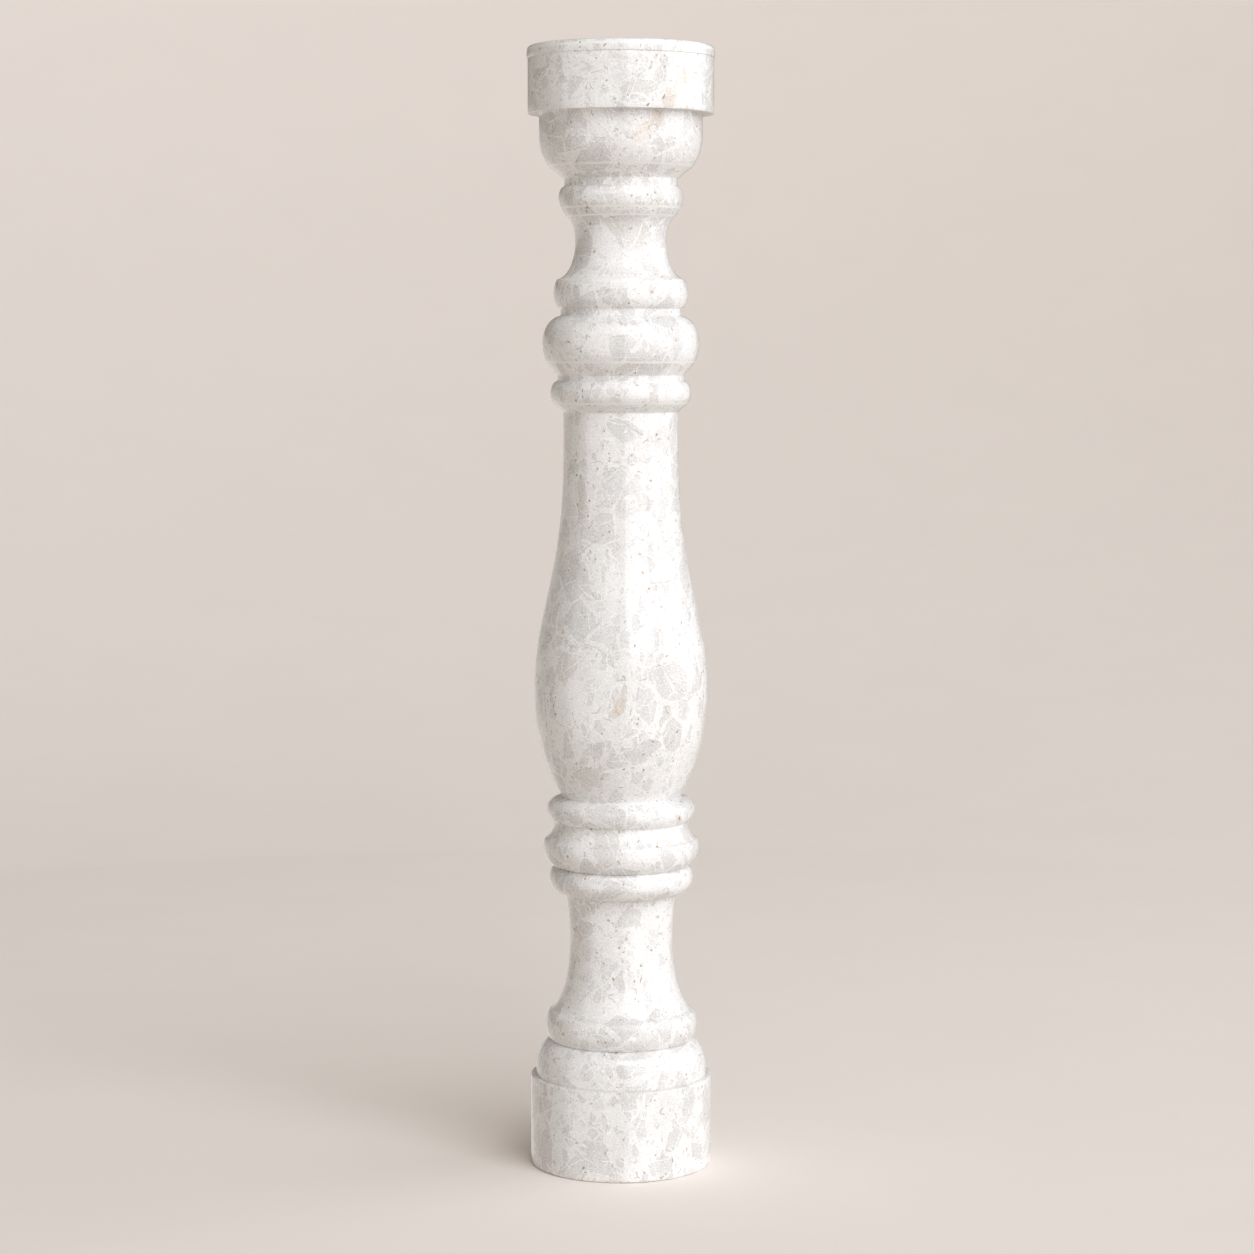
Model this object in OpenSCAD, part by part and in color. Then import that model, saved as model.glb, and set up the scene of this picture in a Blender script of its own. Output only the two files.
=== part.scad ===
// Turned stone baluster: one block of marble, turned on a lathe about its upright axis.
// Millimetres, +Z up, origin at the centre of the underside of the plinth.
// Every moulding has its own height. A "groove" or "edge" diameter is the size of the line where
// two mouldings meet, and both of them are drawn to it. A "belly" or "waist" level is measured
// from the lower end of its own moulding.

/* [Plinth] */
// Diameter of the round plinth
plinth_d = 119; // [116:0.5:160]
// Height of the plinth
plinth_h = 59.5; // [40:0.5:90]

/* [Base rolls] */
// Diameter of the base roll, which stands on the plinth
base_roll_d = 112; // [104:0.5:115]
// Height of the base roll
base_roll_h = 23.5; // [18:0.5:36]
// Level of the base roll's belly
base_roll_belly = 5; // [2:0.5:10]
// Diameter where the base roll meets the foot roll
foot_groove_d = 92; // [86:0.5:97]
// Diameter of the foot roll
foot_roll_d = 99.5; // [98:0.5:110]
// Height of the foot roll
foot_roll_h = 20; // [14:0.5:28]
// Level of the foot roll's belly
foot_roll_belly = 11; // [5:0.5:12]

/* [Pedestal] */
// Diameter where the pedestal flares into the foot roll
pedestal_foot_d = 90.5; // [80:0.5:96]
// Diameter of the pedestal's waist
pedestal_waist_d = 67.5; // [50:0.5:70]
// Diameter of the pedestal under the lower collar
pedestal_top_d = 74; // [69:0.5:82]
// Height of the pedestal
pedestal_h = 77; // [60:0.5:110]
// Level of the pedestal's waist
pedestal_waist = 45.5; // [30:0.5:52]

/* [Lower collar] */
// Diameter of the lowest roll of the lower collar
low_roll_d = 94.5; // [91:0.5:110]
// Height of the lowest roll
low_roll_h = 18.5; // [14:0.5:30]
// Level of the lowest roll's belly
low_roll_belly = 10.5; // [4:0.5:12]
// Diameter of the groove between the lowest and middle rolls
low_groove_d = 87; // [80:0.5:90]
// Diameter of the middle roll
mid_roll_d = 102; // [100:0.5:120]
// Height of the middle roll
mid_roll_h = 18; // [15:0.5:26]
// Level of the middle roll's belly
mid_roll_belly = 13; // [5:0.5:14]
// Diameter of the upper edge of the middle roll
mid_edge_d = 98.5; // [92:0.5:99]
// Depth of the quirk, a fine step inwards on top of the middle roll
mid_quirk = 0.5; // [0.2:0.1:2]
// Diameter of the hollow above the middle roll, at its narrow top
low_hollow_d = 87; // [80:0.5:90]
// Height of that hollow
low_hollow_h = 11.5; // [6:0.5:16]
// Diameter of the ring under the vase
ring_d = 97.5; // [91:0.5:112]
// Height of the ring
ring_h = 16; // [14:0.5:26]
// Level of the ring's belly
ring_belly = 8.5; // [4:0.5:12]

/* [Vase] */
// Diameter of the vase where it stands on the ring
vase_foot_d = 78.5; // [70:0.5:90]
// Diameter of the vase's belly
vase_belly_d = 113.5; // [100:0.5:130]
// Diameter of the shaft at the top of the vase
shaft_d = 75; // [60:0.5:76]
// Level of the belly
vase_belly = 69.5; // [50:0.5:100]
// Height from the belly up to where the shaft becomes straight
vase_shoulder_h = 155; // [120:1:200]
// Height of the straight shaft
shaft_h = 27; // [10:1:60]
// Roundness of the shoulder just above the belly
belly_round = 53; // [30:1:75]
// Roundness of the hollow just below the straight shaft
shaft_round = 82; // [30:1:95]

/* [Upper collar] */
// Diameter of the bead on top of the shaft
bead_d = 91.5; // [90:0.5:104]
// Diameter of the arris between the bead and its bevelled underside
bead_arris_d = 87.5; // [78:0.5:89]
// Height of the bevelled underside of the bead
bead_bevel_h = 5.5; // [3:0.5:8]
// Height of the bead above its bevel
bead_h = 14.5; // [10:0.5:22]
// Level of the bead's belly above its bevel
bead_belly = 6.5; // [3:0.5:9]
// Diameter of the fillet between the bead and the bulb
bulb_fillet_d = 82.5; // [74:0.5:86]
// Height of that fillet
bulb_fillet_h = 3.5; // [2:0.5:8]
// Diameter of the bulb
bulb_d = 102; // [98:0.5:120]
// Diameter of the arris between the bulb and its bevelled underside
bulb_arris_d = 96.5; // [87:0.5:98]
// Height of the bevelled underside of the bulb
bulb_bevel_h = 8.5; // [5:0.5:14]
// Height of the bulb above its bevel
bulb_h = 30; // [22:0.5:42]
// Level of the bulb's belly above its bevel
bulb_belly = 12.5; // [6:0.5:18]
// Diameter of the fillet between the bulb and the upper roll
top_fillet_d = 78; // [72:0.5:84]
// Height of that fillet
top_fillet_h = 4.5; // [2:0.5:8]
// Diameter of the upper roll
top_roll_d = 87; // [85:0.5:100]
// Height of the upper roll
top_roll_h = 19.5; // [14:0.5:26]
// Level of the upper roll's belly
top_roll_belly = 10; // [4:0.5:12]

/* [Neck] */
// Diameter where the neck flares out on to the upper roll
neck_foot_d = 80.5; // [72:0.5:84]
// Depth of the quirk round the foot of the neck
neck_quirk = 0.7; // [0.2:0.1:2]
// Diameter of the neck's waist
neck_waist_d = 59; // [44:0.5:64]
// Diameter of the neck under the astragal
neck_top_d = 70; // [66:0.5:74]
// Height of the neck
neck_h = 39.5; // [30:0.5:60]
// Level of the neck's waist
neck_waist = 24; // [14:0.5:27]

/* [Astragal] */
// Diameter of the astragal, the half-round under the bowl
astragal_d = 80.5; // [79:0.5:94]
// Diameter of the arris between the astragal and its bevelled underside
astragal_arris_d = 77.5; // [74.5:0.5:78.5]
// Height of the bevelled underside of the astragal
astragal_bevel_h = 5.5; // [3:0.5:8]
// Height of the astragal above its bevel
astragal_h = 14; // [10:0.5:20]
// Level of the astragal's belly above its bevel
astragal_belly = 6.5; // [3:0.5:8]
// Diameter of the fillet above the astragal
throat_d = 73; // [60:0.5:78]
// Height of that fillet
throat_h = 4.5; // [2:0.5:8]
// Height of the bevel that opens from the fillet to the lip of the bowl
throat_bevel_h = 8; // [4:0.5:14]

/* [Bowl] */
// Diameter of the sharp lip round the underside of the bowl
bowl_lip_d = 93; // [82:0.5:100]
// Diameter of the bowl
bowl_d = 105.5; // [102:0.5:116]
// Height of the bowl
bowl_h = 33.5; // [28:0.5:50]
// Level of the bowl's belly
bowl_belly = 20; // [14:0.5:26]
// Diameter of the bowl where it meets the cap
bowl_top_d = 105; // [98:0.5:105]

/* [Cap] */
// Diameter of the round cap
cap_d = 120; // [117:0.5:160]
// Height of the cap below its rim band
cap_h = 35.5; // [24:0.5:60]
// How far the rim band stands proud of the cap
rim_proud = 0.6; // [0.2:0.1:2]
// Height of the rim band
rim_h = 8; // [5:0.5:14]
// Radius of the rounded upper edge of the cap
rim_round = 3.5; // [1:0.5:5]

/* [Hidden] */

// Levels of the joints between mouldings, from the ground up
base_z = plinth_h;
foot_z = base_z + base_roll_h;
pedestal_z = foot_z + foot_roll_h;
low_roll_z = pedestal_z + pedestal_h;
mid_roll_z = low_roll_z + low_roll_h;
low_hollow_z = mid_roll_z + mid_roll_h;
ring_z = low_hollow_z + low_hollow_h;
vase_z = ring_z + ring_h;
belly_z = vase_z + vase_belly;
shaft_z = belly_z + vase_shoulder_h;
bead_z = shaft_z + shaft_h;
bulb_z = bead_z + bead_bevel_h + bead_h + bulb_fillet_h;
top_roll_z = bulb_z + bulb_bevel_h + bulb_h + top_fillet_h;
neck_z = top_roll_z + top_roll_h;
astragal_z = neck_z + neck_h;
throat_z = astragal_z + astragal_bevel_h + astragal_h;
bowl_z = throat_z + throat_h + throat_bevel_h;
cap_z = bowl_z + bowl_h;
rim_z = cap_z + cap_h;
top_z = rim_z + rim_h;

// How far round an ellipse each kind of curve is cut before it meets its neighbour, in degrees
roll_turn = 84;
pedestal_turn = 70;
neck_turn = 80;
hollow_turn = 30;
arris_turn = 30;
bowl_turn = 35;
vase_turn = 29;
round_turn = 90;
// Number of steps in a small moulding's curve, and in one of the vase's long ones
small_steps = 10;
long_steps = 28;
round_fn = 180;

// A point of the outline, from a diameter and a level
function at(d, z) = [d / 2, z];

// Part of an ellipse that leaves p upright and has turned by the angle turn when it reaches q.
// p is the belly of a roll or the waist of a hollow. The points run from p towards q.
function turned(p, q, turn, steps = small_steps) = [
    for (i = [0 : steps])
        let (a = turn * i / steps)
        [
            p.x + (q.x - p.x) * (1 - cos(a)) / (1 - cos(turn)),
            p.y + (q.y - p.y) * sin(a) / sin(turn)
        ]
];

// The same points the other way round
function backwards(points) = [for (i = [len(points) - 1 : -1 : 0]) points[i]];

// A long curve that is upright at both ends, with the reach of its roundness at each
function swan(p, q, p_round, q_round, steps = long_steps) = [
    for (i = [0 : steps])
        let (t = i / steps, s = 1 - t)
        s * s * s * p
        + 3 * s * s * t * (p + [0, p_round])
        + 3 * s * t * t * (q - [0, q_round])
        + t * t * t * q
];

// A roll from edge lo to edge hi, with its belly between them. A small lo_turn leaves an arris at lo.
function roll(lo, belly, hi, lo_turn = roll_turn) = concat(
    backwards(turned(belly, lo, lo_turn)),
    turned(belly, hi, roll_turn)
);

// A trumpet-shaped shaft from edge lo to edge hi, with its waist between them
function trumpet(lo, waist, hi, turn) = concat(
    backwards(turned(waist, lo, turn)),
    turned(waist, hi, turn)
);

function plinth_outline() = [at(0, 0), at(plinth_d, 0), at(plinth_d, base_z)];

function base_outline() = concat(
    roll(
        at(base_roll_d, base_z),
        at(base_roll_d, base_z + base_roll_belly),
        at(foot_groove_d, foot_z)
    ),
    roll(
        at(foot_groove_d, foot_z),
        at(foot_roll_d, foot_z + foot_roll_belly),
        at(pedestal_foot_d, pedestal_z)
    )
);

function pedestal_outline() = trumpet(
    at(pedestal_foot_d, pedestal_z),
    at(pedestal_waist_d, pedestal_z + pedestal_waist),
    at(pedestal_top_d, low_roll_z),
    pedestal_turn
);

function lower_collar_outline() = concat(
    roll(
        at(pedestal_top_d, low_roll_z),
        at(low_roll_d, low_roll_z + low_roll_belly),
        at(low_groove_d, mid_roll_z)
    ),
    roll(
        at(low_groove_d, mid_roll_z),
        at(mid_roll_d, mid_roll_z + mid_roll_belly),
        at(mid_edge_d, low_hollow_z)
    ),
    backwards(turned(
        at(low_hollow_d, ring_z),
        at(mid_edge_d - 2 * mid_quirk, low_hollow_z),
        hollow_turn
    )),
    roll(
        at(low_hollow_d, ring_z),
        at(ring_d, ring_z + ring_belly),
        at(vase_foot_d, vase_z)
    )
);

function vase_outline() = concat(
    backwards(turned(at(vase_belly_d, belly_z), at(vase_foot_d, vase_z), vase_turn, long_steps)),
    swan(at(vase_belly_d, belly_z), at(shaft_d, shaft_z), belly_round, shaft_round),
    [at(shaft_d, bead_z)]
);

function upper_collar_outline() =
    let (
        bead_arris_z = bead_z + bead_bevel_h,
        bulb_arris_z = bulb_z + bulb_bevel_h
    )
    concat(
        roll(
            at(bead_arris_d, bead_arris_z),
            at(bead_d, bead_arris_z + bead_belly),
            at(bulb_fillet_d, bead_arris_z + bead_h),
            arris_turn
        ),
        [at(bulb_fillet_d, bulb_z)],
        roll(
            at(bulb_arris_d, bulb_arris_z),
            at(bulb_d, bulb_arris_z + bulb_belly),
            at(top_fillet_d, bulb_arris_z + bulb_h),
            arris_turn
        ),
        roll(
            at(top_fillet_d, top_roll_z),
            at(top_roll_d, top_roll_z + top_roll_belly),
            at(neck_foot_d, neck_z)
        )
    );

function neck_outline() = trumpet(
    at(neck_foot_d - 2 * neck_quirk, neck_z),
    at(neck_waist_d, neck_z + neck_waist),
    at(neck_top_d, astragal_z),
    neck_turn
);

function astragal_outline() =
    let (arris_z = astragal_z + astragal_bevel_h)
    concat(
        roll(
            at(astragal_arris_d, arris_z),
            at(astragal_d, arris_z + astragal_belly),
            at(throat_d, throat_z),
            arris_turn
        ),
        [at(throat_d, throat_z + throat_h)]
    );

function bowl_outline() = roll(
    at(bowl_lip_d, bowl_z),
    at(bowl_d, bowl_z + bowl_belly),
    at(bowl_top_d, cap_z),
    bowl_turn
);

function cap_outline() = concat(
    [
        at(cap_d, cap_z),
        at(cap_d, rim_z),
        at(cap_d + 2 * rim_proud, rim_z)
    ],
    turned(
        at(cap_d + 2 * rim_proud, top_z - rim_round),
        at(cap_d + 2 * (rim_proud - rim_round), top_z),
        round_turn
    ),
    [at(0, top_z)]
);

// The whole baluster: one solid, turned from one block
module baluster() {
    color([0.93, 0.91, 0.89])
        rotate_extrude($fn = round_fn)
            polygon(concat(
                plinth_outline(),
                base_outline(),
                pedestal_outline(),
                lower_collar_outline(),
                vase_outline(),
                upper_collar_outline(),
                neck_outline(),
                astragal_outline(),
                bowl_outline(),
                cap_outline()
            ));
}

baluster();
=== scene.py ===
import math
import random

import bpy
import numpy as np
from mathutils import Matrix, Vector, noise


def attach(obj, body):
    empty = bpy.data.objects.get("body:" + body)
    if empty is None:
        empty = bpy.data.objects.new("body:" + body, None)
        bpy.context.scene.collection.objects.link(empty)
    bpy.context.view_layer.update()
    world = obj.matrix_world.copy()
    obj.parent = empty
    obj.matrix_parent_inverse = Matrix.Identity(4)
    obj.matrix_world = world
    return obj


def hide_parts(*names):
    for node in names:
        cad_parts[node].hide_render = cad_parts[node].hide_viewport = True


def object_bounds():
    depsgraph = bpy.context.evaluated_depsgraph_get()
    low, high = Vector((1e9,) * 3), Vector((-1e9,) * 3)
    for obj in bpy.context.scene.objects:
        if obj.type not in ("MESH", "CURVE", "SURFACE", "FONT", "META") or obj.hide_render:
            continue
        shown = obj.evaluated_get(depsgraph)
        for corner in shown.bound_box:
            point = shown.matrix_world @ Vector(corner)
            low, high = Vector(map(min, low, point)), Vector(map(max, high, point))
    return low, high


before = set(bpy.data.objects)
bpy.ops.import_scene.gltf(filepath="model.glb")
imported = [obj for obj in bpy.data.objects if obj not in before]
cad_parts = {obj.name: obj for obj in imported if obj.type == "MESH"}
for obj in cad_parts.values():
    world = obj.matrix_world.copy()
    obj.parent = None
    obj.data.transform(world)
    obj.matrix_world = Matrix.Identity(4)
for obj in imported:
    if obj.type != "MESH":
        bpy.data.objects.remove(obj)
cad_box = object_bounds()
mm = 0.001


# The baluster is one block of marble, turned on a lathe. Its half-outline is read off the frame's
# own solid, so every moulding keeps its place and size: a list of radius and height, from the
# middle of the underside, up the side, to the middle of the top.
hundredth_mm_digits = 5
same_level = 0.02 * mm
same_ring = 0.05 * mm
axis_gap = 1 * mm


def half_outline(solid):
    corners = np.array([v.co for v in solid.data.vertices])
    radius = np.hypot(corners[:, 0], corners[:, 1])
    rings = np.unique(np.round(np.c_[corners[:, 2], radius], hundredth_mm_digits), axis=0)
    rings = rings[rings[:, 1] > axis_gap]
    levels = np.split(rings, np.nonzero(np.diff(rings[:, 0]) > same_level)[0] + 1)
    outline = [np.array([0, rings[0, 0]])]
    for level in levels:
        inner_first = abs(level[0, 1] - outline[-1][0]) <= abs(level[-1, 1] - outline[-1][0])
        for height, size in level if inner_first else level[::-1]:
            point = np.array([size, height])
            if np.linalg.norm(point - outline[-1]) > same_ring:
                outline.append(point)
    outline.append(np.array([0, rings[-1, 0]]))
    return np.array(outline)


# The lathe leaves an arris wherever two mouldings meet at an angle. Each is found by how sharply
# the outline turns there compared with its neighbours, and is worn to a small round. The one the
# block stands on is rounded most, which leaves the thin dark line along the floor.
plain_corner = math.radians(25)
slight_corner = math.radians(9)
square_corner = math.radians(60)
arris_round = 0.45 * mm
bed_round = 1.8 * mm
round_share = 0.3
round_places = (0.33, 0.67)
square_rub_and_highlight = 0.2
straight_points = 60


def arris_places(outline):
    heading = np.arctan2(*np.diff(outline, axis=0).T[::-1])
    turn = np.abs((np.diff(heading) + math.pi) % (2 * math.pi) - math.pi)
    beside = np.minimum(np.r_[0, turn[:-1]], np.r_[turn[1:], 0])
    return np.nonzero((turn > plain_corner) | ((turn > slight_corner) & (turn > 2 * beside)))[0] + 1


def lengths(points):
    return np.r_[0, np.cumsum(np.linalg.norm(np.diff(points, axis=0), axis=1))]


def points_along(curve, places):
    along = lengths(curve)
    return np.c_[np.interp(places, along, curve[:, 0]), np.interp(places, along, curve[:, 1])]


def faired(points, steps=8):
    """A smooth curve through the points of one moulding, as many short chords."""
    if len(points) < 3:
        return points_along(points, np.linspace(0, lengths(points)[-1], straight_points))
    before = np.vstack([2 * points[0] - points[1], points[:-2]])
    after = np.vstack([points[2:], 2 * points[-1] - points[-2]])
    curve = []
    for a, b, c, d in zip(before, points[:-1], points[1:], after):
        chord = np.linalg.norm(c - b)
        leave = (c - a) * chord / (chord + np.linalg.norm(b - a))
        arrive = (d - b) * chord / (chord + np.linalg.norm(d - c))
        for t in np.arange(steps) / steps:
            point = b * (1 + 2 * t) * (1 - t) ** 2 + c * t * t * (3 - 2 * t)
            curve.append(point + leave * t * (1 - t) ** 2 - arrive * t * t * (1 - t))
    curve.append(points[-1])
    return np.array(curve)


# The side of the block is cut into rings: close together where a moulding turns tightly and beside
# each arris, and wide apart on the straight stretches. Both end faces are flat, and each is closed
# by a small fan round its middle.
ring_turn = math.radians(10)
least_bend = 1e-3
closest_rings = 1.0 * mm
widest_rings = 3.6 * mm
arris_rings = 0.6 * mm
open_out = 0.9
fan_radius = 3 * mm
end_radius = 4 * fan_radius


def ring_points(curve):
    along = lengths(curve)
    step = np.diff(along)
    middle = (along[1:] + along[:-1]) / 2
    heading = np.unwrap(np.arctan2(*np.diff(curve, axis=0).T[::-1]))
    bend = np.abs(np.gradient(heading, middle))
    apart = np.clip(ring_turn / np.maximum(bend, least_bend), closest_rings, widest_rings)
    from_arris = np.minimum(middle, along[-1] - middle)
    apart = np.minimum(apart, arris_rings + open_out * from_arris)
    count = np.r_[0, np.cumsum(step / apart)]
    whole = max(1, round(count[-1]))
    return points_along(curve, np.interp(np.linspace(0, count[-1], whole + 1), count, along))


def rounding(corner):
    return bed_round if corner[1] < same_level else arris_round


def rub_and_highlight_share(turn):
    """How pale an arris is painted, as rubbed wear and as a painted highlight: a blunt one most, a
    square one less; -1 in a deep corner.
    """
    if turn > 0:
        return 1.0 if turn < square_corner else square_rub_and_highlight
    return -1.0 if turn < -square_corner else 0.0


def worn_outline(outline):
    """The rings of the whole block, and how pale each is painted as an arris, by wear and as a
    highlight.
    """
    corners = np.r_[0, arris_places(outline), len(outline) - 1]
    rings = []
    proud = []
    for first, last in zip(corners[:-1], corners[1:]):
        curve = faired(outline[first : last + 1])
        length = lengths(curve)[-1]
        start = min(rounding(outline[first]), round_share * length) if first else 0
        stop = length
        if last < len(outline) - 1:
            stop = length - min(rounding(outline[last]), round_share * length)
        inside = curve[(lengths(curve) > start) & (lengths(curve) < stop)]
        ends = points_along(curve, np.array([start, stop]))
        places = ring_points(np.vstack([ends[:1], inside, ends[1:]]))
        if rings:
            tip, a, c = outline[first], rings[-1], places[0]
            turn = math.atan2(np.cross(tip - a, c - tip), np.dot(tip - a, c - tip))
            for t in round_places:
                rings.append(a * (1 - t) ** 2 + tip * 2 * t * (1 - t) + c * t * t)
                proud.append(rub_and_highlight_share(turn))
        rings.extend(places)
        proud.extend([0.0] * len(places))
    return np.array(rings), np.array(proud)


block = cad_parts["baluster"]
rings, proud = worn_outline(half_outline(block))
off_the_fans = rings[:, 0] > fan_radius
rings = rings[off_the_fans]
proud = proud[off_the_fans]


# The stone has open pits where softer specks fell out or tore under the chisel. They are real
# hollows 0.7 to 2.3 mm across, half of them under a millimetre, and one in seven is drawn out into
# a short slash.
pit_count = 240
pit_radius = (0.35 * mm, 1.15 * mm)
mostly_small = 2.5
pit_depth = 0.7
slash_share = 0.14
slash_length = (2.2, 4.0)
slash_lean = 1.2
pit_seed = random.Random(7)
path = lengths(rings)


class Pit:
    """One pit: its place along and round the side, its radius, and how it is drawn out."""

    def __init__(self):
        share = pit_seed.random()
        self.along = pit_seed.uniform(path[0], path[-1])
        self.angle = pit_seed.uniform(0, 2 * math.pi)
        grown = pit_seed.random() ** mostly_small
        self.radius = pit_radius[0] + (pit_radius[1] - pit_radius[0]) * grown
        self.stretch = pit_seed.uniform(*slash_length) if share < slash_share else 1.0
        self.lean = pit_seed.uniform(-slash_lean, slash_lean)

    def nearness(self, along, angle, radius):
        """1 at the middle of the pit and 0 from its rim outwards."""
        up = along - self.along
        across = ((angle - self.angle + math.pi) % (2 * math.pi) - math.pi) * radius
        long_way = up * math.cos(self.lean) + across * math.sin(self.lean)
        short_way = across * math.cos(self.lean) - up * math.sin(self.lean)
        away = np.hypot(long_way / self.stretch, short_way) / self.radius
        return np.clip(1 - away**2, 0, 1)


pits = [Pit() for _ in range(pit_count)]
pits = [pit for pit in pits if np.interp(pit.along, path, rings[:, 0]) > end_radius]


# The skin of the block is a net of rings and upright lines. A net cell that a pit touches is cut
# finer, and the cells round it take the extra corners into their edges, so the skin stays closed.
round_cells = 144
fine = 4
cell_rows = len(rings) - 1
cut_finer = np.zeros((cell_rows, round_cells), bool)
for pit in pits:
    reach = pit.radius * pit.stretch
    low, high = np.searchsorted(path, [pit.along - reach, pit.along + reach])
    radius = np.interp(pit.along, path, rings[:, 0])
    half = reach / radius
    first = math.floor((pit.angle - half) / (2 * math.pi) * round_cells)
    last = math.floor((pit.angle + half) / (2 * math.pi) * round_cells)
    rows = slice(max(low - 1, 0), min(high, cell_rows))
    cut_finer[rows, np.arange(first, last + 1) % round_cells] = True

fine_rows = cell_rows * fine + 1
fine_round = round_cells * fine
used = np.zeros((fine_rows, fine_round), bool)
used[::fine, ::fine] = True
for row, column in zip(*np.nonzero(cut_finer)):
    columns = np.arange(column * fine, column * fine + fine + 1) % fine_round
    used[row * fine : row * fine + fine + 1, columns] = True
corner_of = np.cumsum(used).reshape(used.shape) - 1


def net_face(corners):
    """Corner numbers of one face from its rows and unwrapped columns."""
    return [int(corner_of[row, column % fine_round]) for row, column in corners]


net_corners = []
for row in range(cell_rows):
    for column in range(round_cells):
        r, c = row * fine, column * fine
        if cut_finer[row, column]:
            for i in range(fine):
                for j in range(fine):
                    a, b = r + i, c + j
                    net_corners.append([(a, b), (a, b + 1), (a + 1, b + 1), (a + 1, b)])
            continue
        edge = [(r, c + j) for j in range(fine)]
        edge += [(r + i, c + fine) for i in range(fine)]
        edge += [(r + fine, c + fine - j) for j in range(fine)]
        edge += [(r + fine - i, c) for i in range(fine)]
        net_corners.append([(a, b) for a, b in edge if used[a, b % fine_round]])
faces = [net_face(corners) for corners in net_corners]

fine_at, turn_at = np.nonzero(used)
ring_number = fine_at / fine
below = np.minimum(ring_number.astype(int), cell_rows - 1)
part_way = ring_number - below
ring_slope = np.gradient(rings, path, axis=0)
gap = np.diff(path)[below][:, None]
t = part_way[:, None]
spot = rings[below] * (1 + 2 * t) * (1 - t) ** 2 + rings[below + 1] * t * t * (3 - 2 * t)
spot = spot + gap * ring_slope[below] * t * (1 - t) ** 2 - gap * ring_slope[below + 1] * t * t * (1 - t)
facing = ring_slope[below] * (1 - t) + ring_slope[below + 1] * t
facing = facing[:, ::-1] * [1, -1] / np.linalg.norm(facing, axis=1)[:, None]
spot_path = np.interp(ring_number, np.arange(len(path)), path)
spot_angle = turn_at / fine_round * 2 * math.pi

pitted = np.zeros(len(spot))
hollow = np.zeros(len(spot))
for pit in pits:
    reach = pit.radius * pit.stretch
    near = np.nonzero(np.abs(spot_path - pit.along) < reach)[0]
    depth = pit.nearness(spot_path[near], spot_angle[near], spot[near, 0])
    hollow[near] = np.maximum(hollow[near], depth * pit_depth * pit.radius)
    pitted[near] = np.maximum(pitted[near], np.sqrt(depth))


# Handling has rubbed the standing arrises unevenly: some stretches are nearly sharp, others are
# rounded over by a few tenths of a millimetre, with small nicks. The arrises are painted pale, partly
# as rubbed wear and partly as a painted highlight line, and dust lies in the deep grooves of the
# lower mouldings.
wear_reach = 1.0 * mm
wear_ends = 3 * wear_reach
wear_depth = 0.4 * mm
wear_stretch = 14 * mm
least_rubbed = 0.25
unevenly_rubbed = 0.6
nick_stretch = 2.6 * mm
nick_aside = Vector((7, 3, 5))
nick_rarity = 0.28
nick_depth = 2.6
most_worn = 1.6
rub_and_highlight_reach = 0.7 * mm
dust_reach = 0.6 * mm
dust_height = 250 * mm

arris_path = path[proud > 0]
to_each = np.abs(spot_path[:, None] - arris_path[None, :])
from_arris = to_each.min(axis=1)
arris_shows = proud[proud > 0][to_each.argmin(axis=1)]
worn = np.zeros(len(spot))
cosine, sine = np.cos(spot_angle), np.sin(spot_angle)
for k in np.nonzero(from_arris < wear_ends)[0]:
    place = Vector((spot[k, 0] * cosine[k], spot[k, 0] * sine[k], spot[k, 1]))
    rubbed = least_rubbed + unevenly_rubbed * (0.5 + noise.noise(place / wear_stretch))
    nicked = max(0, noise.noise(place / nick_stretch + nick_aside) - nick_rarity) * nick_depth
    worn[k] = max(0, rubbed + nicked) * math.exp(-((from_arris[k] / wear_reach) ** 2))
sunk = hollow + wear_depth * np.clip(worn, 0, most_worn)
spot = spot - facing * sunk[:, None]

skin_points = np.c_[spot[:, 0] * cosine, spot[:, 0] * sine, spot[:, 1]]
under_middle = len(skin_points)
top_middle = under_middle + 1
points = np.vstack([skin_points, [0, 0, rings[0, 1]], [0, 0, rings[-1, 1]]])
for column in range(round_cells):
    here, beside = column * fine, (column + 1) * fine
    last = cell_rows * fine
    faces.append([under_middle] + net_face([(0, beside), (0, here)]))
    net_corners.append([(0, here), (0, beside), (0, here)])
    faces.append([top_middle] + net_face([(last, here), (last, beside)]))
    net_corners.append([(last, here), (last, here), (last, beside)])

skin = bpy.data.meshes.new("turned_baluster")
skin.from_pydata(points.tolist(), [], faces)
skin.shade_smooth()
# Painted highlight: near each standing arris the colour is whitened, partly for rubbed wear and partly
# as a painted highlight line.
edge = arris_shows * np.exp(-((from_arris / rub_and_highlight_reach) ** 2))
from_inner = np.abs(spot_path[:, None] - path[proud < 0][None, :]).min(axis=1)
dust = np.exp(-((from_inner / dust_reach) ** 2)) * np.clip(1 - spot[:, 1] / dust_height, 0, 1)
for name, values in (("pit", pitted), ("arris", edge), ("dust", dust)):
    marks = skin.attributes.new(name, "FLOAT", "POINT")
    marks.data.foreach_set("value", np.r_[values, 0, 0].astype(np.float32))
unrolled = skin.uv_layers.new(name="OFBake")
flat = np.array([corner for face in net_corners for corner in face], float)
flat_path = np.interp(flat[:, 0] / fine, np.arange(len(path)), path)
flat = np.c_[flat_path / path[-1], flat[:, 1] / fine_round]
unrolled.data.foreach_set("uv", flat.astype(np.float32).ravel())
baluster = bpy.data.objects.new("turned_baluster", skin)
bpy.context.scene.collection.objects.link(baluster)


# The marble is a brecciated off-white stone: broken pieces of pale grey in a white ground, sealed
# with white calcite, with a few rusty specks and two tan stains. It is honed to a soft sheen.
marble = bpy.data.materials.new("marble")
marble.use_nodes = True
tree = marble.node_tree
tree.nodes.clear()


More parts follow.
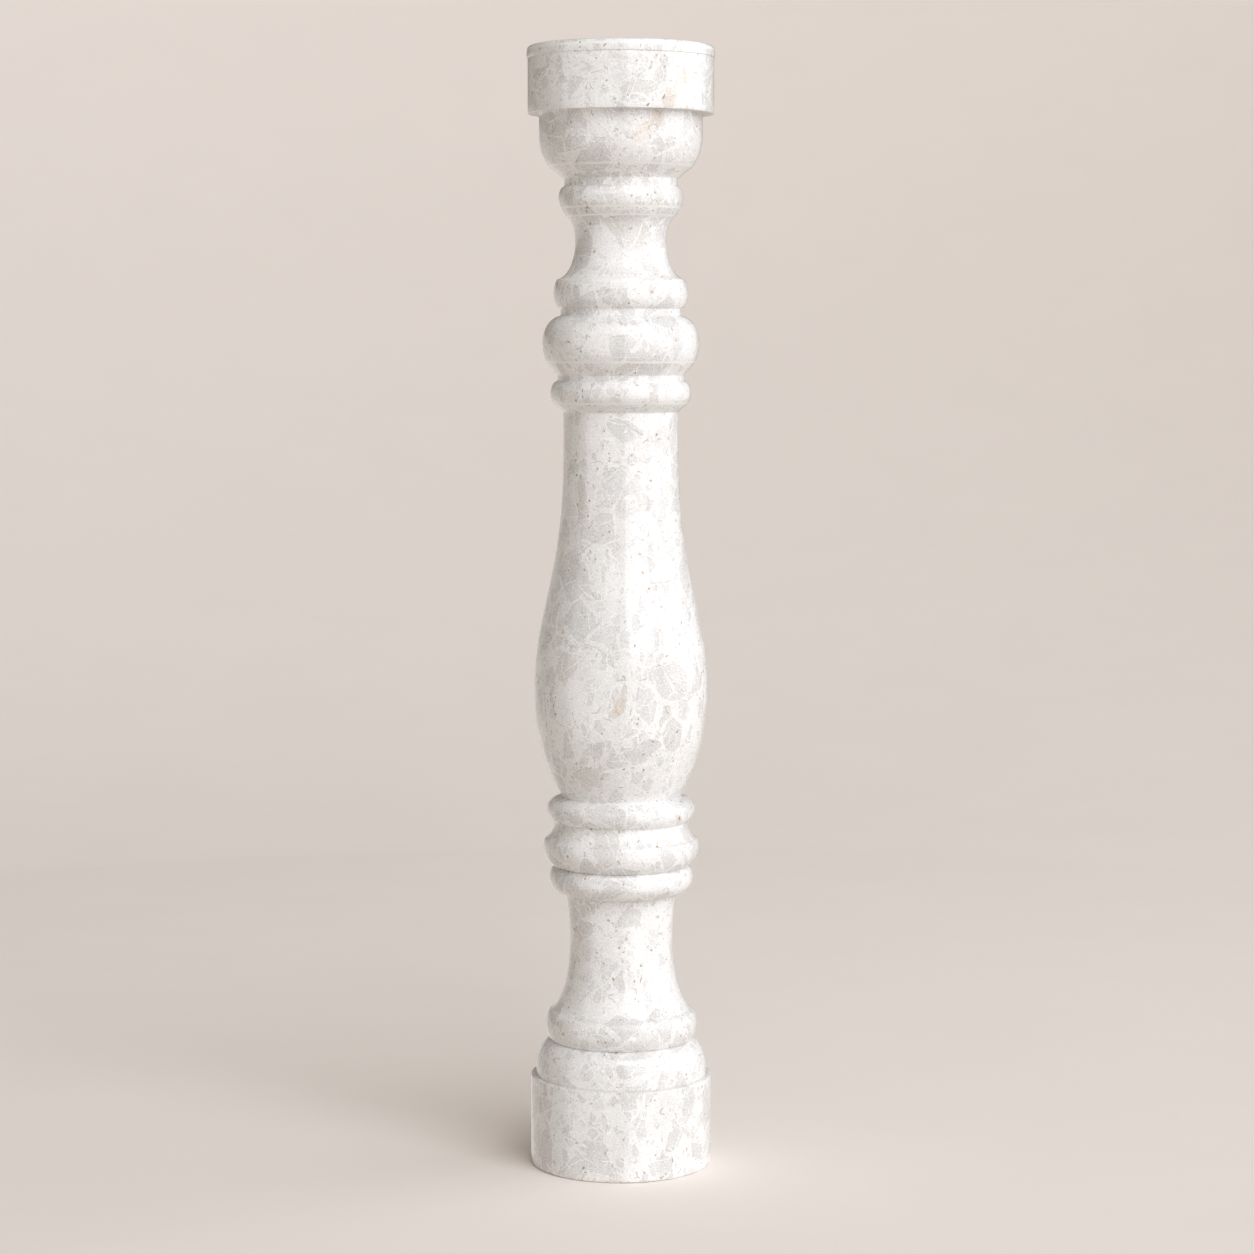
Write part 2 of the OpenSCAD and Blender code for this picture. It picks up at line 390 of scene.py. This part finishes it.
def feed(socket, value):
    if isinstance(value, bpy.types.NodeSocket):
        tree.links.new(value, socket)
    else:
        socket.default_value = value


def node(kind, feeds, **settings):
    """A node in the tree that is being built, with its inputs fed by name or number."""
    made = tree.nodes.new(kind)
    for name, value in settings.items():
        setattr(made, name, value)
    for name, value in feeds.items():
        feed(made.inputs[name], value)
    return made


def sums(operation, *values):
    return node("ShaderNodeMath", dict(enumerate(values)), operation=operation).outputs[0]


def vectors(operation, *values):
    return node("ShaderNodeVectorMath", dict(enumerate(values)), operation=operation).outputs[0]


def scaled(value, factor):
    feeds = {"Vector": value, "Scale": factor}
    return node("ShaderNodeVectorMath", feeds, operation="SCALE").outputs[0]


def length_of(place):
    return node("ShaderNodeVectorMath", {"Vector": place}, operation="LENGTH").outputs["Value"]


def turned_about(where, turn, scale):
    feeds = {"Vector": where, "Rotation": turn, "Scale": scale}
    return node("ShaderNodeMapping", feeds).outputs[0]


def band(value, low, high):
    """0 below low, 1 above high, smooth between; low may be the larger."""
    feeds = {"Value": value, "From Min": low, "From Max": high}
    return node("ShaderNodeMapRange", feeds, interpolation_type="SMOOTHSTEP").outputs[0]


def cloud(where, size, detail=1.0, output=0):
    feeds = {"Vector": where, "Scale": 1 / size, "Detail": detail}
    return node("ShaderNodeTexNoise", feeds).outputs[output]


def cells(where, size, feature="F1"):
    return node("ShaderNodeTexVoronoi", {"Vector": where, "Scale": 1 / size}, feature=feature)


def attribute(name):
    return node("ShaderNodeAttribute", {}, attribute_name=name).outputs["Fac"]


def paint(amount, under, over):
    """The colour over laid on the colour under; a mix node keeps its colours in these sockets."""
    factor, first_colour, second_colour, result = 0, 6, 7, 2
    feeds = {factor: amount, first_colour: under, second_colour: over}
    return node("ShaderNodeMix", feeds, data_type="RGBA").outputs[result]


def pushed(where, size, reach):
    """The same places, pushed about by a cloud of the given size."""
    away = vectors("SUBTRACT", cloud(where, size, output=1), (0.5, 0.5, 0.5))
    return vectors("ADD", where, scaled(away, reach))


def moved(where, place):
    return vectors("ADD", where, place)


def both(*values):
    total = values[0]
    for value in values[1:]:
        total = sums("MULTIPLY", total, value)
    return total


ground = (0.875, 0.866, 0.864, 1)
calcite = (0.953, 0.95, 0.95, 1)
grey_stone = (0.632, 0.622, 0.623, 1)
warm_stone = (0.742, 0.72, 0.702, 1)
brown = (0.30, 0.225, 0.17, 1)
rust = (0.50, 0.31, 0.12, 1)
outline_grey = (0.52, 0.475, 0.44, 1)
orange = (0.80, 0.53, 0.21, 1)
tan = (0.80, 0.715, 0.62, 1)
soil = (0.30, 0.235, 0.18, 1)
rub_and_highlight_white = (0.97, 0.967, 0.96, 1)

here = node("ShaderNodeTexCoord", {}).outputs["Object"]
flowing = pushed(pushed(here, 45 * mm, 22 * mm), 9 * mm, 4 * mm)
crinkled = pushed(flowing, 4 * mm, 1.1 * mm)
grain = cloud(here, 1.1 * mm, 2.0)
stipple = cloud(here, 0.55 * mm)
patches = cloud(here, 30 * mm, 3.0)
paler_patches = (0.38, 0.62)
patch_strength = 0.6
tone_range = (0.3, 0.9)
pale_dots = (0.5, 0.66)

uneven_seams = 0.14
share_blend = 0.02
piece_edge = 1.6
rim_middle = 0.4
outline_middle = 1.7
outline_width = 0.7
palest_piece = 0.4
rim_gaps = (0.44, 0.50)
rim_strength = 0.95
outline_gaps = (0.44, 0.38)
outline_strength = 0.6


def broken_pieces(where, size, share, seam, strength):
    """Angular pieces: how much of each shows, its own tone, its white rim and its dark outline."""
    piece = cells(where, size)
    own = node("ShaderNodeSeparateColor", {"Color": piece.outputs["Color"]})
    luck, width, tone = own.outputs
    to_edge = cells(where, size, "DISTANCE_TO_EDGE").outputs["Distance"]
    margin = sums("SUBTRACT", to_edge, sums("MULTIPLY", width, uneven_seams))
    chosen = band(luck, 1 - share, 1 + share_blend - share)
    inside = band(margin, seam, seam * piece_edge)
    off_rim = sums("ABSOLUTE", sums("SUBTRACT", margin, seam * rim_middle))
    off_outline = sums("ABSOLUTE", sums("SUBTRACT", margin, seam * outline_middle))
    rim = both(band(off_rim, seam, 0), chosen)
    dark = both(band(off_outline, seam * outline_width, 0), chosen)
    depth = sums("MULTIPLY_ADD", tone, (1 - palest_piece) * strength, palest_piece * strength)
    return both(inside, chosen, depth), tone, rim, dark


stone = paint(both(band(patches, *paler_patches), patch_strength), ground, calcite)
tall = turned_about(crinkled, (0.3, 0.5, 0.2), (1.25, 1.25, 0.75))
leaning = turned_about(crinkled, (0.2, -0.6, 0.4), (1, 1.3, 0.85))
seams = 0.0
for where, size, share, seam, strength in (
    (moved(crinkled, (0.31, 0.17, 0.05)), 4.6 * mm, 0.38, 0.065, 0.65),
    (tall, 9.5 * mm, 0.42, 0.035, 0.9),
    (leaning, 20 * mm, 0.45, 0.017, 1.0),
):
    amount, tone, rim, dark = broken_pieces(where, size, share, seam, strength)
    colour = paint(band(tone, *tone_range), grey_stone, warm_stone)
    dotted = paint(band(stipple, *pale_dots), colour, ground)
    stone = paint(amount, stone, dotted)
    stretch = cloud(here, size * 0.8)
    broken_rim = both(rim, band(stretch, *rim_gaps), rim_strength)
    stone = paint(broken_rim, stone, calcite)
    stone = paint(both(dark, band(stretch, *outline_gaps), outline_strength), stone, outline_grey)
    seams = sums("MAXIMUM", seams, broken_rim)

for size, width, aside in ((38 * mm, 0.010, 0.9), (16 * mm, 0.019, 0.4)):
    net = moved(flowing, (aside, aside / 2, 0))
    lines = cells(net, size, "DISTANCE_TO_EDGE").outputs["Distance"]
    gaps = band(cloud(moved(here, (0, aside, 0)), size * 0.6), *rim_gaps)
    vein = both(band(lines, width, width * 0.5), gaps, rim_strength)
    stone = paint(vein, stone, calcite)
    seams = sums("MAXIMUM", seams, vein)
grain_contrast = 0.6
stone = scaled(stone, sums("MULTIPLY_ADD", grain, grain_contrast, 1 - grain_contrast / 2))


# Two rusty seams of softer, tan stone come to the surface: one runs from the cap down over the
# bowl, right of the front, and a small one sits on the front of the vase. Tan with orange dots.
def on_the_skin(height, degrees):
    """The place on the side of the block at a height, and so far round to the right."""
    side = rings[:, 0] > end_radius
    radius = np.interp(height, rings[side, 1], rings[side, 0])
    angle = math.radians(degrees)
    return (radius * math.sin(angle), -radius * math.cos(angle), height)


blotched = pushed(pushed(here, 7 * mm, 9 * mm), 2 * mm, 1.6 * mm)
rust_dots = cells(moved(crinkled, (0.4, 0.4, 0.1)), 3.6 * mm).outputs["Distance"]
stain_edge = (1.0, 0.8)
stain_grain = (0.35, 0.55)
stain_strength = 0.5
dots_edge = (1.1, 0.9)
dot_size = (0.26, 0.16)
across_stain = 0.55
for height, degrees, reach, lean, rusty in (
    (0.706, 40, 9 * mm, 0.5, 0.4),
    (0.694, 32, 8 * mm, 0.5, 0.8),
    (0.684, 26, 8 * mm, -0.3, 0.4),
    (0.673, 15, 10 * mm, 0.8, 0.8),
    (0.727, 38, 5 * mm, 0, 0.8),
    (0.309, -1, 8 * mm, 0.2, 0.6),
):
    stain = {"Vector": blotched, "Location": on_the_skin(height, degrees), "Rotation": (0, lean, 0)}
    stain["Scale"] = (reach * across_stain, reach, reach)
    far = length_of(node("ShaderNodeMapping", stain, vector_type="TEXTURE").outputs[0])
    stained = both(band(far, *stain_edge), band(stipple, *stain_grain), stain_strength)
    stone = paint(stained, stone, tan)
    stone = paint(both(band(far, *dots_edge), band(rust_dots, *dot_size), rusty), stone, orange)


# Small brown and rusty specks lie all over, round ones and leaning dashes, with a few short dark
# hairs between them. Pits and grooves hold soil, and the arrises are painted white, partly as
# rubbed wear and partly as a painted highlight.
speck_size = (0.08, 0.18)
speck_blur = 0.04
speck_blend = 0.01
speck_strength = (0.5, 0.95)
mostly_brown = 0.78
scattered = moved(crinkled, (0.6, 0.1, 0.3))
dashed = turned_about(leaning, (0.5, 0.4, 0.6), (1.35, 1.3, 0.6))
for where, size, share in ((scattered, 4.6 * mm, 0.20), (dashed, 4.6 * mm, 0.11)):
    specks = cells(where, size)
    own = node("ShaderNodeSeparateColor", {"Color": specks.outputs["Color"]})
    luck, width, strength = own.outputs
    chosen = band(luck, 1 - share, 1 + speck_blend - share)
    radius = sums("MULTIPLY_ADD", width, speck_size[1] - speck_size[0], speck_size[0])
    off_speck = sums("SUBTRACT", specks.outputs["Distance"], radius)
    spread = speck_strength[1] - speck_strength[0]
    shown = sums("MULTIPLY_ADD", strength, spread, speck_strength[0])
    rusted = paint(band(width, mostly_brown, mostly_brown + share_blend), brown, rust)
    stone = paint(both(band(off_speck, speck_blur, 0), chosen, shown), stone, rusted)

hair_width = (0.022, 0.006)
hair_rarity = (0.60, 0.66)
hair_strength = 0.5
hair_net = moved(flowing, (0.2, 0.8, 0.6))
hairs = cells(hair_net, 17 * mm, "DISTANCE_TO_EDGE").outputs["Distance"]
hair_gaps = band(cloud(moved(here, (0.5, 0.2, 0)), 6 * mm), *hair_rarity)
stone = paint(both(band(hairs, *hair_width), hair_gaps, hair_strength), stone, brown)

rub_and_highlight_gaps = (0.36, 0.5)
least_rub_and_highlight = 0.6
arris_rub_and_highlight_band = (0.25, 0.7)
dust_strength = 0.3
pit_wall = (0.2, 0.95)
soil_strength = 0.75
patchy_rub_and_highlight = band(cloud(here, 16 * mm, 3.0), *rub_and_highlight_gaps)
rub_and_highlight_amount = sums("MULTIPLY_ADD", patchy_rub_and_highlight, 1 - least_rub_and_highlight, least_rub_and_highlight)
pit = attribute("pit")
# Painted highlight: the arrises are whitened, partly as rubbed wear and partly as a painted highlight
# line.
stone = paint(both(band(attribute("arris"), *arris_rub_and_highlight_band), rub_and_highlight_amount), stone, rub_and_highlight_white)
stone = paint(both(attribute("dust"), dust_strength), stone, soil)
stone = paint(both(band(pit, *pit_wall), soil_strength), stone, soil)

relief_height = 0.1 * mm
relief_strength = 0.15
smoothest = 0.07
stipple_roughness = 0.08
pit_roughness = 0.4
marble_ior = 1.5
relief = sums("MULTIPLY", sums("ADD", grain, seams), 0.5)
feeds = {"Height": relief, "Strength": relief_strength, "Distance": relief_height}
bump = node("ShaderNodeBump", feeds).outputs[0]
honed = sums("MULTIPLY_ADD", stipple, stipple_roughness, smoothest)
honed = sums("ADD", honed, sums("MULTIPLY", pit, pit_roughness))
feeds = {"Base Color": stone, "Roughness": honed, "IOR": marble_ior, "Normal": bump}
surface = node("ShaderNodeBsdfPrincipled", feeds).outputs[0]
node("ShaderNodeOutputMaterial", {"Surface": surface})
skin.materials.append(marble)

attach(baluster, "root")
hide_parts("baluster")


# The studio floor and the curved wall behind it are one warm plain paper. It is painted darker away
# from the block and paler to the right, as painted shade and painted light. The floor takes the
# shadow but throws no light or sheen back on the stone. Only the small bed under the plinth does,
# which gives the thin dark line there, and the wall lets the lamps behind it shine through.
pin_hole = 2 * mm
bed_radius = 66 * mm
near_floor = 0.3
floor_radius = 1.3
paper_sides = 96
sweep_round = 3.4
sweep_steps = 24
sweep_height = 5.0


def paper_sheet(name, profile):
    """A sheet turned about the upright axis from a line of radii and heights."""
    points = []
    faces = []
    for radius, height in profile:
        for k in range(paper_sides):
            angle = 2 * math.pi * k / paper_sides
            points.append((radius * math.cos(angle), radius * math.sin(angle), height))
    for i in range(len(profile) - 1):
        for k in range(paper_sides):
            a, b = i * paper_sides + k, i * paper_sides + (k + 1) % paper_sides
            faces.append((a, b, b + paper_sides, a + paper_sides))
    mesh = bpy.data.meshes.new(name)
    mesh.from_pydata(points, [], faces)
    mesh.flip_normals()
    mesh.shade_smooth()
    made = bpy.data.objects.new(name, mesh)
    bpy.context.scene.collection.objects.link(made)
    return made


paper = bpy.data.materials.new("paper")
paper.use_nodes = True
tree = paper.node_tree
tree.nodes.clear()
near_paper = (0.97, 0.905, 0.86, 1)
painted_shade_far_paper = (0.82, 0.754, 0.708, 1)
painted_shade_reach = (0.4, 3.6)
painted_light_to_right = 0.038
fibre_size = 120 * mm
fibre_contrast = 0.03
paper_roughness = 0.9
paper_sheen = 0.1
place = node("ShaderNodeTexCoord", {}).outputs["Object"]
# Painted shade and light: the paper is painted darker with distance from the block, and paler to the
# right, as if lit more from there.
paper_with_painted_shade = paint(band(length_of(place), *painted_shade_reach), near_paper, painted_shade_far_paper)
fibres = sums("MULTIPLY_ADD", cloud(place, fibre_size, 3.0), fibre_contrast, 1 - fibre_contrast / 2)
to_right = node("ShaderNodeSeparateXYZ", {"Vector": place}).outputs["X"]
fibres_and_painted_light = both(fibres, sums("MULTIPLY_ADD", to_right, painted_light_to_right, 1.0))
paper_with_painted_shade = scaled(paper_with_painted_shade, fibres_and_painted_light)
matt = node("ShaderNodeBsdfPrincipled", {"Base Color": paper_with_painted_shade, "Roughness": paper_roughness})
matt.inputs["Specular IOR Level"].default_value = paper_sheen
node("ShaderNodeOutputMaterial", {"Surface": matt.outputs[0]})

bed = paper_sheet("bed", [(pin_hole, 0), (bed_radius, 0)])
floor = paper_sheet("floor", [(bed_radius, 0), (near_floor, 0), (floor_radius, 0)])
wall_radius = floor_radius + sweep_round
bend = []
for k in range(sweep_steps + 1):
    turn = math.pi / 2 * k / sweep_steps
    out = floor_radius + sweep_round * math.sin(turn)
    bend.append((out, sweep_round * (1 - math.cos(turn))))
sweep = paper_sheet("sweep", bend + [(wall_radius, sweep_height)])
for sheet in (bed, floor, sweep):
    sheet.data.materials.append(paper)
for sheet in (floor, sweep):
    sheet.visible_shadow = False
    sheet.visible_diffuse = False
    sheet.visible_glossy = False


# A tall soft panel high on the right front is the key, a weaker and lower one wraps the right side,
# and a faint one touches the left edge from behind. Two cards, left and right of the camera, show
# only as sheen in the honed stone. All stand behind the wall, where the camera doesn't see them.
middle = Vector(((cad_box[0][0] + cad_box[1][0]) / 2, 0, (cad_box[0][2] + cad_box[1][2]) / 2))
panel_distance = 20
lamp_white = (0.945, 0.968, 1)


def soft_panel(name, left, right, low, high, brightness):
    """A panel that spans the given degrees round from the front, and up from level."""
    round_middle = math.radians((left + right) / 2)
    up_middle = math.radians((low + high) / 2)
    lamp = bpy.data.lights.new(name, "AREA")
    lamp.shape = "RECTANGLE"
    lamp.size = 2 * panel_distance * math.tan(math.radians((right - left) / 2))
    lamp.size_y = 2 * panel_distance * math.tan(math.radians((high - low) / 2))
    lamp.energy = brightness * math.pi * lamp.size * lamp.size_y
    lamp.color = lamp_white
    out = Vector((math.sin(round_middle), -math.cos(round_middle), 0)) * math.cos(up_middle)
    out.z = math.sin(up_middle)
    panel = bpy.data.objects.new(name, lamp)
    panel.location = middle + out * panel_distance
    panel.rotation_euler = out.to_track_quat("Z", "Y").to_euler()
    panel.visible_camera = False
    bpy.context.scene.collection.objects.link(panel)
    return panel


soft_panel("key", 8, 50, 10, 60, 3.65)
soft_panel("side", 58, 118, -5, 40, 1.65)
soft_panel("rim", -175, -130, -25, 5, 0.3)
left_card = soft_panel("left card", -76, -7, -28, 60, 1.5)
right_card = soft_panel("right card", 8, 50, -28, 10, 1.8)
for card in (left_card, right_card):
    card.visible_diffuse = False


# The room is dim and warm above. Below, it is as pale as the light that a paper floor would throw
# up under the mouldings.
room_above = (0.27, 0.24, 0.205, 1)
room_below = (0.63, 0.575, 0.525, 1)
horizon = (-0.25, 0.15)
room = bpy.data.worlds.new("room")
bpy.context.scene.world = room
room.use_nodes = True
tree = room.node_tree
tree.nodes.clear()
direction = node("ShaderNodeTexCoord", {}).outputs["Generated"]
upward = node("ShaderNodeSeparateXYZ", {"Vector": direction}).outputs["Z"]
glow = paint(band(upward, *horizon), room_below, room_above)
background = node("ShaderNodeBackground", {"Color": glow})
node("ShaderNodeOutputWorld", {"Surface": background.outputs[0]})


# The camera stands above the middle of the block and looks slightly down on it, square on.
lens = 90
film = 36
stand_off = 2.040
eye_height = 0.5386
aside = 0.0039
look_down = math.radians(5.14)
view = bpy.data.cameras.new("camera")
view.lens = lens
view.sensor_width = film
camera = bpy.data.objects.new("camera", view)
camera.location = (aside, -stand_off, eye_height)
camera.rotation_euler = (math.pi / 2 - look_down, 0, 0)
bpy.context.scene.collection.objects.link(camera)
bpy.context.scene.camera = camera
bpy.context.scene.view_settings.view_transform = "Standard"
